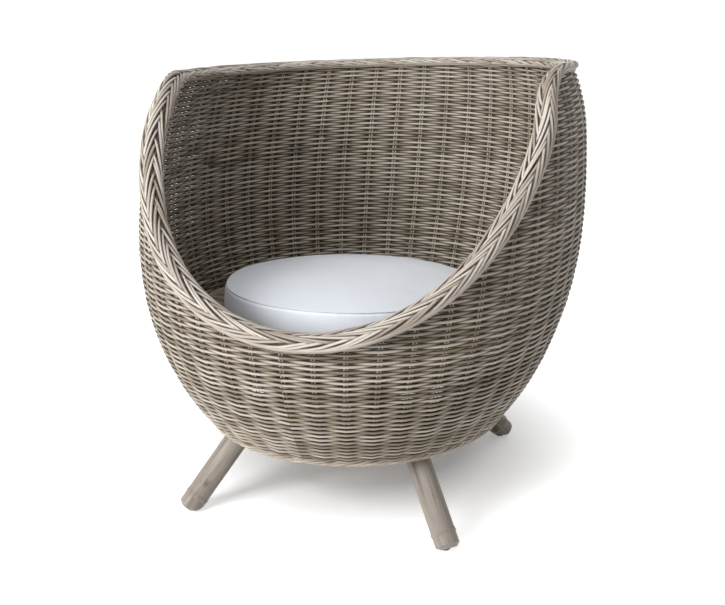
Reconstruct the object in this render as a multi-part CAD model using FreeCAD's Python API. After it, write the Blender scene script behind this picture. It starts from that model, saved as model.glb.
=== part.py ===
import FreeCAD, Part
import math
import os

Vector = FreeCAD.Vector
Placement = FreeCAD.Placement
Rotation = FreeCAD.Rotation

# Woven egg chair on four splayed pole legs. Millimetres, +Z up, the chair faces -Y.
# Sizes are worked out round the centre of the leg square; at the end everything moves
# so that the origin is the middle of the chair's outline on the floor.

# Bowl: the outer face is two half ellipses that meet at the widest level, and the level
# circles drift back with height, so that the back leans away from the sitter.
bowl_width = 860.0
widest_level = 560.0
lower_half_height = 555.0
upper_half_height = 732.0
base_level = 154.0
lean_level = 777.0
lean_at_level = 121.0
lean_power = 2.2
wall = 14.0
wall_stakes = 52
wall_rows = 9

# Opening, seen from the side: a slanting line up from the front, a rounded corner, and
# a top edge that falls gently to the back.
opening_front_level = 424.0
opening_slope = 48.3
opening_corner_level = 826.0
opening_corner_radius = 60.0
opening_fall = 5.0
opening_turn = 5.0
rim_inset = 3.0
rim_stations = 56
rim_fine_steps = 1440
rim_bend_weight = 150.0

# Plaited border, broad in front and narrow along the back, and the pole inside it
border_front_width = 46.0
border_front_height = 30.0
border_back_width = 34.0
border_back_height = 19.0
border_change_length = 260.0
border_bevel_share = 0.3
hoop_diameter = 12.0
hoop_gap = 0.3
border_seat_gap = 0.1

# Bottom edge
base_border_diameter = 14.0
base_ring_diameter = 24.0
base_ring_level = 170.0
ring_stations = 36
pole_flats = 8
nesting_gap = 0.3

# Seat frame, laid out level and then raked back
seat_level = 333.0
seat_rake = 4.0
seat_panel_thickness = 10.0
seat_panel_gap = 12.0
seat_panel_bevel = 3.0
seat_ring_diameter = 22.0
seat_ring_inset = 18.0
bearer_diameter = 18.0
bearer_count = 4
bearer_spacing = 120.0
strut_diameter = 18.0
strut_count = 8

# Rails that cross under the seat and carry the legs
rail_width = 60.0
rail_height = 34.0
rail_level = 162.5
rail_past_ring = 10.0
lap_gap = 0.2

# Legs: round poles with one cane node, splayed outwards on the diagonals
leg_diameter = 45.0
leg_splay = 41.0
leg_axis_at_floor = 370.0
leg_end = 8.0
leg_end_bevel = 6.0
leg_node_at = 38.0
leg_node_rise = 1.4
leg_node_length = 12.0
plate_thickness = 3.0
plate_inner = 176.0
plate_outer = 259.0
plate_width = 56.0
plate_corner = 8.0
plate_hole_gap = 0.6
bolt_diameter = 8.0
bolt_in_leg = 60.0
bolt_in_rail = 28.0
bolt_gap = 0.2
bolt_end_gap = 1.0

# Glides under the feet
glide_radius = 352.0
glide_diameter = 22.0
glide_height = 8.0
glide_bevel = 3.0
glide_flats = 24

# Cushion
cushion_radius = 243.0
cushion_bulge = 4.0
cushion_bottom_seam = 9.0
cushion_bottom_inset = 17.0
cushion_top_seam = 88.0
cushion_crown = 20.0
cushion_crown_power = 3.0
cushion_sides = 60
cushion_side_rows = 4
cushion_crown_rows = 7
cushion_aside = -10.0
cushion_gap = 0.3

diagonals = {"front_left": -135.0, "front_right": -45.0, "back_right": 45.0, "back_left": 135.0}
up = Vector(0, 0, 1)


# Shape of the bowl

def bowl_radius(level, inset=0.0):
    """Radius of the bowl's level circle, on the outer face or inset from it."""
    half_height = lower_half_height if level < widest_level else upper_half_height
    share = (level - widest_level) / (half_height - inset)
    return (bowl_width / 2 - inset) * math.sqrt(1 - share * share)


def bowl_lean(level):
    """How far back the level circle's centre lies."""
    share = max(0.0, (level - base_level) / (lean_level - base_level))
    return lean_at_level * share ** lean_power


def bowl_point(angle, level, inset=0.0):
    """Point of the bowl; the angle is counted from the front, towards +X."""
    radius = bowl_radius(level, inset)
    return Vector(radius * math.sin(angle), bowl_lean(level) - radius * math.cos(angle), level)


def bowl_outward(angle, level):
    """Unit normal of the bowl's outer face."""
    across = Vector(math.cos(angle), math.sin(angle), 0)
    rise = bowl_point(angle, level + 1) - bowl_point(angle, level - 1)
    return across.cross(rise).normalize()


# Shape of the opening, in a side view that is turned with it

def side_depth(point):
    """Distance towards the back in the opening's side view."""
    turn = math.radians(opening_turn)
    return point.y * math.cos(turn) - point.x * math.sin(turn)


slope = math.radians(opening_slope)
fall = math.radians(opening_fall)
front_depth = side_depth(bowl_point(math.radians(opening_turn), opening_front_level, rim_inset))
corner_depth = front_depth + (opening_corner_level - opening_front_level) / math.tan(slope)


def opening_level(depth):
    """Level of the opening's edge at a depth."""
    tangent = opening_corner_radius * math.tan((slope + fall) / 2)
    if depth < corner_depth - tangent * math.cos(slope):
        return opening_front_level + (depth - front_depth) * math.tan(slope)
    if depth > corner_depth + tangent * math.cos(fall):
        return opening_corner_level - (depth - corner_depth) * math.tan(fall)
    across = depth - corner_depth + tangent * math.cos(slope) - opening_corner_radius * math.sin(slope)
    centre_level = opening_corner_level - tangent * math.sin(slope) - opening_corner_radius * math.cos(slope)
    return centre_level + math.sqrt(opening_corner_radius ** 2 - across ** 2)


def rim_point(angle):
    """Point of the rim's centre line, where the bowl meets the edge of the opening."""
    low = base_level
    high = opening_corner_level
    while high - low > 1e-6:
        level = (low + high) / 2
        if level < opening_level(side_depth(bowl_point(angle, level, rim_inset))):
            low = level
        else:
            high = level
    return bowl_point(angle, level, rim_inset)


def rim_frames():
    """Frames round the rim: place, along, outward and up the wall, closer together in bends."""
    count = rim_fine_steps
    angles = [2 * math.pi * i / count for i in range(count)]
    points = [rim_point(angle) for angle in angles]
    steps = [points[(i + 1) % count] - points[i] for i in range(count)]
    travelled = [0.0]
    for i in range(count):
        travelled.append(travelled[-1] + steps[i].Length + rim_bend_weight * steps[i].getAngle(steps[i - 1]))
    frames = []
    i = 0
    for station in range(rim_stations):
        while travelled[i] < travelled[-1] * station / rim_stations:
            i += 1
        along = (steps[i] + steps[i - 1]).normalize()
        outward = bowl_outward(angles[i], points[i].z)
        outward = (outward - along * outward.dot(along)).normalize()
        frames.append((points[i], along, outward, outward.cross(along)))
    return frames


def circle_frames(radius, level):
    """Frames round a level circle."""
    frames = []
    for station in range(ring_stations):
        angle = 2 * math.pi * station / ring_stations
        outward = Vector(math.sin(angle), -math.cos(angle), 0)
        along = Vector(math.cos(angle), math.sin(angle), 0)
        frames.append((outward * radius + up * level, along, outward, up))
    return frames


# Building blocks

def closed_ring(sections):
    """Solid through a closed row of sections."""
    faces = Part.makeLoft(sections, False, True, True).Faces
    ring = Part.Solid(Part.Shell(faces))
    if ring.Volume < 0:
        ring.reverse()
    return ring


def level_circle(radius, centre, sides):
    """Corners of an even polygon on a level circle."""
    turns = [2 * math.pi * i / sides for i in range(sides)]
    return [centre + Vector(math.sin(turn), -math.cos(turn), 0) * radius for turn in turns]


def stacked(tiers):
    """Flat-sided solid through a stack of level polygons."""
    outlines = [tiers[0], tiers[-1]]
    for low, high in zip(tiers, tiers[1:]):
        outlines += [[low[i - 1], low[i], high[i], high[i - 1]] for i in range(len(low))]
    shell = Part.makeShell([Part.Face(Part.makePolygon(corners + corners[:1])) for corners in outlines])
    shell.sewShape()
    return Part.Solid(shell)


def pole_outline(diameter):
    """Outline of a peeled pole: even flats, the diameter across them."""
    corner = diameter / 2 / math.cos(math.pi / pole_flats)
    turns = [math.pi * (2 * i + 1) / pole_flats for i in range(pole_flats)]
    return [(corner * math.cos(turn), corner * math.sin(turn)) for turn in turns]


def section(frame, outline):
    """Closed outline, given as (outward, up the wall) pairs, set on a frame."""
    place, along, outward, upward = frame
    corners = [place + outward * n + upward * b for n, b in outline]
    return Part.makePolygon(corners + corners[:1])


def bent_pole(frames, diameter):
    """Pole bent along a closed row of frames."""
    return closed_ring([section(frame, pole_outline(diameter)) for frame in frames])


def straight_pole(start, end, diameter):
    """Pole from start to end."""
    along = (end - start).normalize()
    sideways = along.cross(up).normalize()
    outline = section((start, along, sideways, sideways.cross(along)), pole_outline(diameter))
    return Part.Face(outline).extrude(end - start)


def largest(shape):
    """The largest solid of a cut."""
    return max(shape.Solids, key=lambda solid: solid.Volume)


def turned_profile(points, place, axis):
    """Solid of revolution of a straight-sided outline of (radius, height) points, set on an axis."""
    corners = [Vector(radius, 0, height) for radius, height in points]
    solid = Part.Face(Part.makePolygon(corners + corners[:1])).revolve(Vector(), up, 360)
    solid.Placement = Placement(place, Rotation(up, axis))
    return solid


def about_centre(shape, angle):
    """Copy of a shape turned about the upright centre line, from +X."""
    copy = shape.copy()
    copy.rotate(Vector(), up, angle)
    return copy


# Rim border, hoop, wall and bottom edge

def border_size(place):
    """Width and height of the plaited border, which draws in past the corners."""
    share = min(1.0, max(0.0, (side_depth(place) - corner_depth) / border_change_length))
    share = share * share * (3 - 2 * share)
    width = border_front_width + (border_back_width - border_front_width) * share
    height = border_front_height + (border_back_height - border_front_height) * share
    return width, height


def border_outline(place):
    """Eight-sided outline of the plaited border, flat where it sits on the wall."""
    width, height = border_size(place)
    side = width / 2
    half = height / 2
    low = half - height * border_bevel_share
    flat = side - height * border_bevel_share
    return [(side, -low), (side, low), (flat, half), (-flat, half),
            (-side, low), (-side, -low), (-flat, -half), (flat, -half)]


def make_egg(inset, bottom, top):
    """Solid egg as wide as the bowl, or inset from it, flat between its upright stakes."""
    tiers = []
    for i in range(wall_rows + 1):
        level = bottom + (top - bottom) * i / wall_rows
        tiers.append(level_circle(bowl_radius(level, inset), Vector(0, bowl_lean(level), level), wall_stakes))
    return stacked(tiers)


def make_wall():
    """Woven wall: an open egg shell, trimmed along the underside of the border."""
    top = opening_corner_level + border_front_height
    egg = make_egg(0.0, wall_bottom, top).cut(make_egg(wall, wall_bottom - 1, top + 1))
    trim = []
    for place, along, outward, upward in rim:
        under = place - upward * (border_size(place)[1] / 2 + border_seat_gap)
        trim.append(Part.makePolygon([under - outward * border_front_width, under + outward * border_front_width]))
    pieces, _ = egg.generalFuse([Part.makeLoft(trim, False, True, True)])
    return min(pieces.Solids, key=lambda solid: solid.BoundBox.ZMin)


wall_bottom = base_level + base_border_diameter
rim = rim_frames()
woven_shell = make_wall()
rim_hoop = bent_pole(rim, hoop_diameter)
rim_border = closed_ring([section(frame, border_outline(frame[0])) for frame in rim])
rim_border = rim_border.cut(bent_pole(rim, hoop_diameter + 2 * hoop_gap))

base_border_level = base_level + base_border_diameter / 2
base_border_radius = bowl_radius(base_border_level) - base_border_diameter / 2
base_border = bent_pole(circle_frames(base_border_radius, base_border_level), base_border_diameter)
wall_foot_radius = bowl_radius(wall_bottom, wall) * math.cos(math.pi / wall_stakes)
base_ring_radius = wall_foot_radius - nesting_gap - base_ring_diameter / 2
base_ring = bent_pole(circle_frames(base_ring_radius, base_ring_level), base_ring_diameter)

# Seat: panel on bearers in a ring, on struts that stand on the base ring

seat_place = Placement(Vector(0, 0, seat_level), Rotation(Vector(1, 0, 0), -seat_rake))
seat_panel_radius = bowl_radius(seat_level, wall) - seat_panel_gap
seat_ring_radius = seat_panel_radius - seat_ring_inset
seat_ring_height = -seat_panel_thickness - seat_ring_diameter / 2


def on_seat(shape):
    """Copy of a shape laid out on the level seat, raked into place."""
    copy = shape.copy()
    copy.Placement = seat_place.multiply(copy.Placement)
    return copy


def make_panel():
    """Woven panel, a thin disc with bevelled edges, its top at the seat level."""
    radius = seat_panel_radius
    outline = [(radius - seat_panel_bevel, 0), (radius, -seat_panel_bevel),
               (radius, seat_panel_bevel - seat_panel_thickness),
               (radius - seat_panel_bevel, -seat_panel_thickness)]
    return stacked([level_circle(reach, up * height, ring_stations) for reach, height in outline[::-1]])


def make_bearer(across):
    """Pole from front to back under the panel, its ends coped to the seat ring."""
    reach = math.sqrt(seat_ring_radius ** 2 - across ** 2)
    height = -seat_panel_thickness - bearer_diameter / 2
    pole = straight_pole(Vector(across, -reach, height), Vector(across, reach, height), bearer_diameter)
    return largest(on_seat(pole).cut(seat_ring))


def make_strut(angle):
    """Pole from the base ring up to the seat ring, coped at both ends."""
    outward = Vector(math.sin(angle), -math.cos(angle), 0)
    foot = outward * base_ring_radius + up * base_ring_level
    head = seat_place.multVec(outward * seat_ring_radius + up * seat_ring_height)
    return largest(straight_pole(foot, head, strut_diameter).cut(base_ring).cut(seat_ring))


seat_panel = on_seat(make_panel())
seat_ring = on_seat(bent_pole(circle_frames(seat_ring_radius, seat_ring_height), seat_ring_diameter))

# Legs, plates, bolts and glides. Each is laid out on the +X side and turned to its diagonal.

splay = math.radians(leg_splay)
leg_up = Vector(-math.sin(splay), 0, math.cos(splay))
leg_foot = Vector(leg_axis_at_floor, 0, 0)
leg_top_level = rail_level - plate_thickness


def leg_bar(bottom, top, diameter):
    """Round bar on the leg's axis between two levels."""
    start = leg_foot + leg_up * (bottom / math.cos(splay))
    return Part.makeCylinder(diameter / 2, (top - bottom) / math.cos(splay), start, leg_up)


def make_leg():
    """Round pole with a cane node, its foot trimmed level for the glide and its top for the plate."""
    radius = leg_diameter / 2
    top = (leg_top_level + leg_diameter) / math.cos(splay)
    half_node = leg_node_length / 2
    outline = [(0, leg_end), (radius - leg_end_bevel, leg_end), (radius, leg_end + leg_end_bevel),
               (radius, leg_node_at - half_node), (radius + leg_node_rise, leg_node_at),
               (radius, leg_node_at + half_node), (radius, top), (0, top)]
    pole = turned_profile(outline, leg_foot, leg_up)
    reach = 4 * leg_diameter
    corner = Vector(leg_axis_at_floor - 1.5 * reach, -reach, glide_height)
    pole = pole.common(Part.makeBox(2 * reach, 2 * reach, leg_top_level - glide_height, corner))
    hole_bottom = leg_top_level - bolt_in_leg - bolt_end_gap
    return pole.cut(leg_bar(hole_bottom, rail_level, bolt_diameter + 2 * bolt_gap))


def make_plate():
    """Steel plate between leg and rail, with clipped corners and a slanting bolt hole."""
    length = plate_outer - plate_inner
    plate = Part.makeBox(length, plate_width, plate_thickness, Vector(plate_inner, -plate_width / 2, leg_top_level))
    upright = [edge for edge in plate.Edges if edge.BoundBox.ZLength > plate_thickness / 2]
    plate = plate.makeChamfer(plate_corner, upright)
    return plate.cut(leg_bar(leg_top_level - 20, rail_level + 20, bolt_diameter + 2 * plate_hole_gap))


def make_bolt():
    """Hanger bolt along the leg's axis, through the plate into the rail."""
    return leg_bar(leg_top_level - bolt_in_leg, rail_level + bolt_in_rail, bolt_diameter)


def make_rail(angle, lap_level):
    """Rail across the base ring, notched over it, bored for the bolts and halved for the other rail."""
    reach = base_ring_radius + rail_past_ring
    rail = Part.makeBox(2 * reach, rail_width, rail_height, Vector(-reach, -rail_width / 2, rail_level))
    depth = base_ring_level - rail_level
    notch = Part.makeBox(4 * rail_past_ring, 2 * rail_width, depth, Vector(base_ring_radius, -rail_width, rail_level))
    bore = leg_bar(rail_level - 20, rail_level + bolt_in_rail + bolt_end_gap, bolt_diameter + 2 * bolt_gap)
    for end in (0, 180):
        rail = rail.cut(about_centre(notch, end)).cut(about_centre(bore, end))
    lap_width = rail_width + 2 * lap_gap
    rail = rail.cut(Part.makeBox(lap_width, 2 * rail_width, rail_height, Vector(-lap_width / 2, -rail_width, lap_level)))
    return largest(about_centre(rail, angle).cut(base_ring))


def make_glide():
    """Plastic glide with a bevelled sole."""
    radius = glide_diameter / 2
    tiers = []
    for reach, height in ((radius - glide_bevel, 0), (radius, glide_bevel), (radius, glide_height)):
        tiers.append(level_circle(reach, Vector(glide_radius, 0, height), glide_flats))
    return stacked(tiers)


# Cushion

def make_cushion():
    """Boxed round cushion: drawn in at both seams, swelling between them, with a crowned top."""
    outline = [(cushion_radius - cushion_bottom_inset, cushion_gap)]
    for i in range(cushion_side_rows + 1):
        share = i / cushion_side_rows
        height = cushion_bottom_seam + (cushion_top_seam - cushion_bottom_seam) * share
        outline.append((cushion_radius + cushion_bulge * math.sin(math.pi * share), height))
    for i in range(1, cushion_crown_rows):
        share = math.cos(math.pi / 2 * i / cushion_crown_rows)
        height = cushion_top_seam + cushion_crown * (1 - share ** cushion_crown_power)
        outline.append((cushion_radius * share, height))
    centre = Vector(cushion_aside, 0, 0)
    return on_seat(stacked([level_circle(reach, centre + up * height, cushion_sides) for reach, height in outline]))


# Assembly. The origin moves to the middle of the outline on the floor.

parts = {
    "woven_shell": woven_shell, "rim_border": rim_border, "rim_hoop": rim_hoop, "base_border": base_border,
    "base_ring": base_ring, "seat_ring": seat_ring, "seat_panel": seat_panel, "seat_cushion": make_cushion(),
}
for i in range(bearer_count):
    parts["seat_bearer_" + str(i + 1)] = make_bearer((i - (bearer_count - 1) / 2) * bearer_spacing)
for i in range(strut_count):
    parts["seat_strut_" + str(i + 1)] = make_strut(math.pi * (2 * i + 1) / strut_count)

rail_middle = rail_level + rail_height / 2
parts["rail_lower"] = make_rail(45, rail_middle)
parts["rail_upper"] = make_rail(-45, rail_middle - rail_height)

leg_set = {"leg": make_leg(), "leg_plate": make_plate(), "hanger_bolt": make_bolt(), "glide": make_glide()}
for piece, shape in leg_set.items():
    for corner, angle in diagonals.items():
        parts[piece + "_" + corner] = about_centre(shape, angle)

depths = [vertex.Y for vertex in rim_border.Vertexes]
to_origin = Vector(0, -(min(depths) + max(depths)) / 2, 0)

os.makedirs("parts", exist_ok=True)
for name, shape in parts.items():
    placed = shape.copy()
    placed.translate(to_origin)
    placed.exportStep("parts/" + name + ".step")
    print(name, "solids", len(placed.Solids), "valid", placed.isValid(), "volume", round(placed.Volume))
print("the leg square's centre lies at y", round(to_origin.y, 3))
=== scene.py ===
import logging
import math
import random
from dataclasses import dataclass, field
from enum import Enum

import bmesh
import bpy
from mathutils import Matrix, Vector, noise


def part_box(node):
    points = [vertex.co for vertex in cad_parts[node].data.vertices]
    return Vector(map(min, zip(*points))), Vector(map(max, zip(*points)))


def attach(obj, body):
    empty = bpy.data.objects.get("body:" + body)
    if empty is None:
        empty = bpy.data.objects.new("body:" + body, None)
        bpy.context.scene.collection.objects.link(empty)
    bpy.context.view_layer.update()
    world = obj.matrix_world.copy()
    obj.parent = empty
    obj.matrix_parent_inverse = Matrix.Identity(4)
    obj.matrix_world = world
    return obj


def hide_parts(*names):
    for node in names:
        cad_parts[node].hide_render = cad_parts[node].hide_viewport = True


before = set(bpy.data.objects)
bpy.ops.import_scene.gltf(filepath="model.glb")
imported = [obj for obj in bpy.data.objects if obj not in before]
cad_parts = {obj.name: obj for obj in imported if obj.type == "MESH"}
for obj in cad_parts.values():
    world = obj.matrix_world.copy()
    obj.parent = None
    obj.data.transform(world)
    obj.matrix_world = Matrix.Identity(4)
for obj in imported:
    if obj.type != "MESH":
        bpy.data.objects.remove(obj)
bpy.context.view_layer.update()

log = logging.getLogger("egg_chair")
TURN = 2 * math.pi
UP = Vector((0, 0, 1))
CORNERS = ("front_left", "front_right", "back_right", "back_left")


class Body(Enum):
    """Bodies that the pieces ride on."""

    CHAIR = "chair"
    CUSHION = "cushion"


class Slot(Enum):
    """Material slots of the record."""

    WOVEN = "woven_cane"
    PLAITED = "plaited_cane"
    POLE = "peeled_pole"
    LEG = "leg_pole"
    RAIL = "rail_wood"
    STEEL = "plated_steel"
    GLIDE = "glide_plastic"
    CLOTH = "cushion_cloth"


def middle_of_legs() -> float:
    """How far back the middle of the leg square lies.

    Returns:
        The distance along Y, in metres.
    """
    boxes = [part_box("glide_" + corner) for corner in CORNERS]
    return sum(low[1] + high[1] for low, high in boxes) / (2 * len(boxes))


# Shape of the bowl and its opening, in metres round the middle of the leg square

@dataclass(frozen=True)
class Bowl:
    """Egg-shaped bowl whose outer face the cane is woven to."""

    width: float = 0.860
    widest_level: float = 0.553
    lower_half_height: float = 0.544
    upper_half_height: float = 0.723
    tuck_level: float = 0.700
    tuck: float = 1.5
    base_level: float = 0.154
    lean_level: float = 0.777
    lean_at_level: float = 0.133
    lean_power: float = 2.12
    wall: float = 0.014

    def radius(self, level: float, inset: float = 0.0) -> float:
        """Radius of a level circle.

        Args:
            level: Height over the floor.
            inset: Distance in from the outer face.

        Returns:
            The radius.
        """
        half = self.lower_half_height if level < self.widest_level else self.upper_half_height
        share = (level - self.widest_level) / (half - inset)
        tucked = self.tuck * max(0.0, level - self.tuck_level) ** 2
        return (self.width / 2 - inset) * math.sqrt(max(0.0, 1 - share * share)) - tucked

    def lean(self, level: float) -> float:
        """How far back the middle of a level circle lies.

        Args:
            level: Height over the floor.

        Returns:
            The distance along Y.
        """
        share = max(0.0, (level - self.base_level) / (self.lean_level - self.base_level))
        return self.lean_at_level * share ** self.lean_power

    def point(self, angle: float, level: float, inset: float = 0.0) -> Vector:
        """Point of the bowl.

        Args:
            angle: Turn from the front towards +X.
            level: Height over the floor.
            inset: Distance in from the outer face.

        Returns:
            The point.
        """
        radius = self.radius(level, inset)
        return Vector((radius * math.sin(angle), self.lean(level) - radius * math.cos(angle), level))

    def outward(self, angle: float, level: float) -> Vector:
        """Unit normal of the outer face.

        Args:
            angle: Turn from the front towards +X.
            level: Height over the floor.

        Returns:
            The normal.
        """
        across = Vector((math.cos(angle), math.sin(angle), 0))
        rise = self.point(angle, level + 0.001) - self.point(angle, level - 0.001)
        return across.cross(rise).normalized()


@dataclass(frozen=True)
class Opening:
    """Slanting opening of the bowl and the size of the border round it."""

    bowl: Bowl
    front_level: float = 0.425
    slope: float = math.radians(45.9)
    corner_level: float = 0.812
    corner_radius: float = 0.190
    fall: float = math.radians(3.7)
    side_rise: float = 0.030
    turn: float = math.radians(4.0)
    inset: float = 0.003
    front_size: tuple[float, float] = (0.046, 0.030)
    back_size: tuple[float, float] = (0.034, 0.019)
    change_lead: float = 0.140
    change_length: float = 0.300
    halvings: int = 24

    def depth(self, place: Vector) -> float:
        """Distance towards the back in the opening's side view.

        Args:
            place: Any point.

        Returns:
            The distance.
        """
        return place.y * math.cos(self.turn) - place.x * math.sin(self.turn)

    def past_corner(self, place: Vector) -> float:
        """How far behind the corner a point lies.

        Args:
            place: Any point.

        Returns:
            The distance, negative in front of the corner.
        """
        front = self.depth(self.bowl.point(self.turn, self.front_level, self.inset))
        rise = self.corner_level + place.x * self.side_rise - self.front_level
        return self.depth(place) - front - rise / math.tan(self.slope)

    def level(self, place: Vector) -> float:
        """Level of the opening's edge over a point.

        Args:
            place: Any point.

        Returns:
            The level.
        """
        behind = self.past_corner(place)
        top = self.corner_level + place.x * self.side_rise
        tangent = self.corner_radius * math.tan((self.slope + self.fall) / 2)
        if behind < -tangent * math.cos(self.slope):
            return top + behind * math.tan(self.slope)
        if behind > tangent * math.cos(self.fall):
            return top - behind * math.tan(self.fall)
        across = behind + tangent * math.cos(self.slope) - self.corner_radius * math.sin(self.slope)
        drop = tangent * math.sin(self.slope) + self.corner_radius * math.cos(self.slope)
        return top - drop + math.sqrt(self.corner_radius ** 2 - across ** 2)

    def highest(self) -> float:
        """Level that no point of the edge is over.

        Returns:
            The level.
        """
        return self.corner_level + self.bowl.width / 2 * self.side_rise

    def rim_level(self, angle: float) -> float:
        """Level of the rim's middle line.

        Args:
            angle: Turn from the front towards +X.

        Returns:
            The level where the bowl meets the opening.
        """
        low, high = self.bowl.base_level, self.highest()
        for _ in range(self.halvings):
            level = (low + high) / 2
            if level < self.level(self.bowl.point(angle, level, self.inset)):
                low = level
            else:
                high = level
        return level

    def narrowing(self, place: Vector) -> float:
        """How far the border has gone from its front size to its back size.

        Args:
            place: Point of the rim.

        Returns:
            0 in front, 1 at the back.
        """
        share = min(1.0, max(0.0, (self.past_corner(place) + self.change_lead) / self.change_length))
        return share * share * (3 - 2 * share)

    def border_size(self, place: Vector) -> tuple[float, float]:
        """Width and height of the border.

        Args:
            place: Point of the rim.

        Returns:
            Width across the wall and height up the wall.
        """
        share = self.narrowing(place)
        width, height = (f + (b - f) * share for f, b in zip(self.front_size, self.back_size))
        return width, height


# Canes

@dataclass
class Cane:
    """One cane: its path, its half thickness, how pale it has weathered, and how deep in the weave it
    runs, which darkens it with painted shade and some dust.

    The relief holds, for each point of the path, the way out of the weave and how far out
    of the middle of the weave the point lies.
    """

    path: list[Vector]
    radius: float
    tint: float
    closed: bool = False
    relief: list[tuple[Vector, float]] = field(default_factory=list)

    top: float = field(init=False)

    def __post_init__(self) -> None:
        """Note how far out the cane comes."""
        self.top = max((height for _, height in self.relief), default=1.0)

    def reaches(self) -> list[float]:
        """Distance along the cane of each point, from a start of its own.

        Returns:
            The distances.
        """
        travelled = [self.tint * 7]
        for start, end in zip(self.path, self.path[1:]):
            travelled.append(travelled[-1] + (end - start).length)
        return travelled

    def shade_and_dust_depth(self, ring: int, corner: Vector) -> float:
        """How deep a corner of the mesh lies under the faces of the weave; this depth darkens the colour
        with painted shade and some dust.

        Args:
            ring: Point of the path that the corner belongs to.
            corner: Place of the corner.

        Returns:
            0 on the face and 1 deep in the weave.
        """
        if not self.relief:
            return 0.0
        outward, height = self.relief[ring]
        facing = (corner - self.path[ring]).dot(outward) / self.radius
        front = min(1.0, 0.72 * (1 + math.copysign(min(1.0, abs(height) / self.top), height * facing)))
        return min(1.0, max(0.0, 1 - front * facing * facing))


@dataclass(frozen=True)
class Path:
    """Frame on a path: place, outward and up the wall."""

    place: Vector
    outward: Vector
    upward: Vector


def lay_canes(name: str, canes: list[Cane], shift: float, sides: int = 6) -> bpy.types.Object:
    """Make canes as one mesh, with the tint, the grain and the depth in the weave of each kept as
    attributes; the depth sets painted shade with some dust.

    Args:
        name: Name of the piece.
        canes: The canes.
        shift: Distance along Y from the middle of the legs to the origin.
        sides: Even number of sides of a cane, 4 or more.

    Returns:
        The piece.
    """
    curve = bpy.data.curves.new(name, "CURVE")
    curve.dimensions = "3D"
    curve.bevel_depth = 1.0
    curve.bevel_resolution = (sides - 4) // 2
    curve.use_fill_caps = True
    for cane in canes:
        spline = curve.splines.new("POLY")
        spline.points.add(len(cane.path) - 1)
        spline.points.foreach_set("co", [value for place in cane.path for value in (*place, 1.0)])
        spline.points.foreach_set("radius", [cane.radius] * len(cane.path))
        spline.use_cyclic_u = cane.closed
        spline.use_smooth = True
    paths = bpy.data.objects.new(name + "_paths", curve)
    bpy.context.collection.objects.link(paths)
    mesh = bpy.data.meshes.new_from_object(paths)
    bpy.data.objects.remove(paths)
    bpy.data.curves.remove(curve)
    mesh.name = name
    # The mesh starts with the caps of the open canes, last cane first, and then has all rings
    order = [(k, ring) for k in reversed(range(len(canes))) if not canes[k].closed
             for ring in (len(canes[k].path) - 1, 0)]
    order += [(k, ring) for k, cane in enumerate(canes) for ring in range(len(cane.path))]
    reaches = [cane.reaches() for cane in canes]
    tints, grain, shade_and_dust_depth = [], [], []
    for number, (k, ring) in enumerate(order):
        cane = canes[k]
        for side in range(sides):
            turn = TURN * side / sides
            tints.append(cane.tint)
            grain += (reaches[k][ring], cane.radius * math.cos(turn), cane.radius * math.sin(turn))
            # Depth of the corner in the weave, which the material turns into painted shade with some dust.
            shade_and_dust_depth.append(cane.shade_and_dust_depth(ring, mesh.vertices[number * sides + side].co))
    mesh.attributes.new("tint", "FLOAT", "POINT").data.foreach_set("value", tints)
    mesh.attributes.new("grain", "FLOAT_VECTOR", "POINT").data.foreach_set("vector", grain)
    mesh.attributes.new("shade_and_dust_depth", "FLOAT", "POINT").data.foreach_set("value", shade_and_dust_depth)
    mesh.transform(Matrix.Translation((0, shift, 0)))
    piece = bpy.data.objects.new(name, mesh)
    bpy.context.collection.objects.link(piece)
    return piece


def made(name: str, form: bmesh.types.BMesh, shift: float, smooth: bool = True) -> bpy.types.Object:
    """Turn a finished bmesh into a piece.

    Args:
        name: Name of the piece.
        form: The shape, freed here.
        shift: Distance along Y from the middle of the legs to the origin.
        smooth: Whether its faces are shaded smooth.

    Returns:
        The piece.
    """
    bmesh.ops.recalc_face_normals(form, faces=form.faces)
    bmesh.ops.translate(form, verts=form.verts, vec=(0, shift, 0))
    for face in form.faces:
        face.smooth = smooth
    mesh = bpy.data.meshes.new(name)
    form.to_mesh(mesh)
    form.free()
    piece = bpy.data.objects.new(name, mesh)
    bpy.context.collection.objects.link(piece)
    return piece


def fit(piece: bpy.types.Object, body: Body, slot: Slot, finish: bpy.types.Material,
        *nodes: str) -> None:
    """Give a piece its body and material, and hide the nodes that it stands for.

    Args:
        piece: The piece.
        body: Body that it rides on.
        slot: Material slot of the record; not used.
        finish: Material.
        nodes: Nodes that it stands for.
    """
    piece.data.materials.clear()
    piece.data.materials.append(finish)
    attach(piece, body.value)
    if nodes:
        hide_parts(*nodes)
    log.info("%s: %d faces", piece.name, len(piece.data.polygons))


def dress(node: str, finish: bpy.types.Material) -> None:
    """Give a node of the frame its material.

    Args:
        node: Name of the node.
        finish: Material.
    """
    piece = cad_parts[node]
    if not piece.data.materials:
        piece.data.materials.append(finish)
    for slot in piece.material_slots:
        slot.link = "OBJECT"
        slot.material = finish


# Materials

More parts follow.
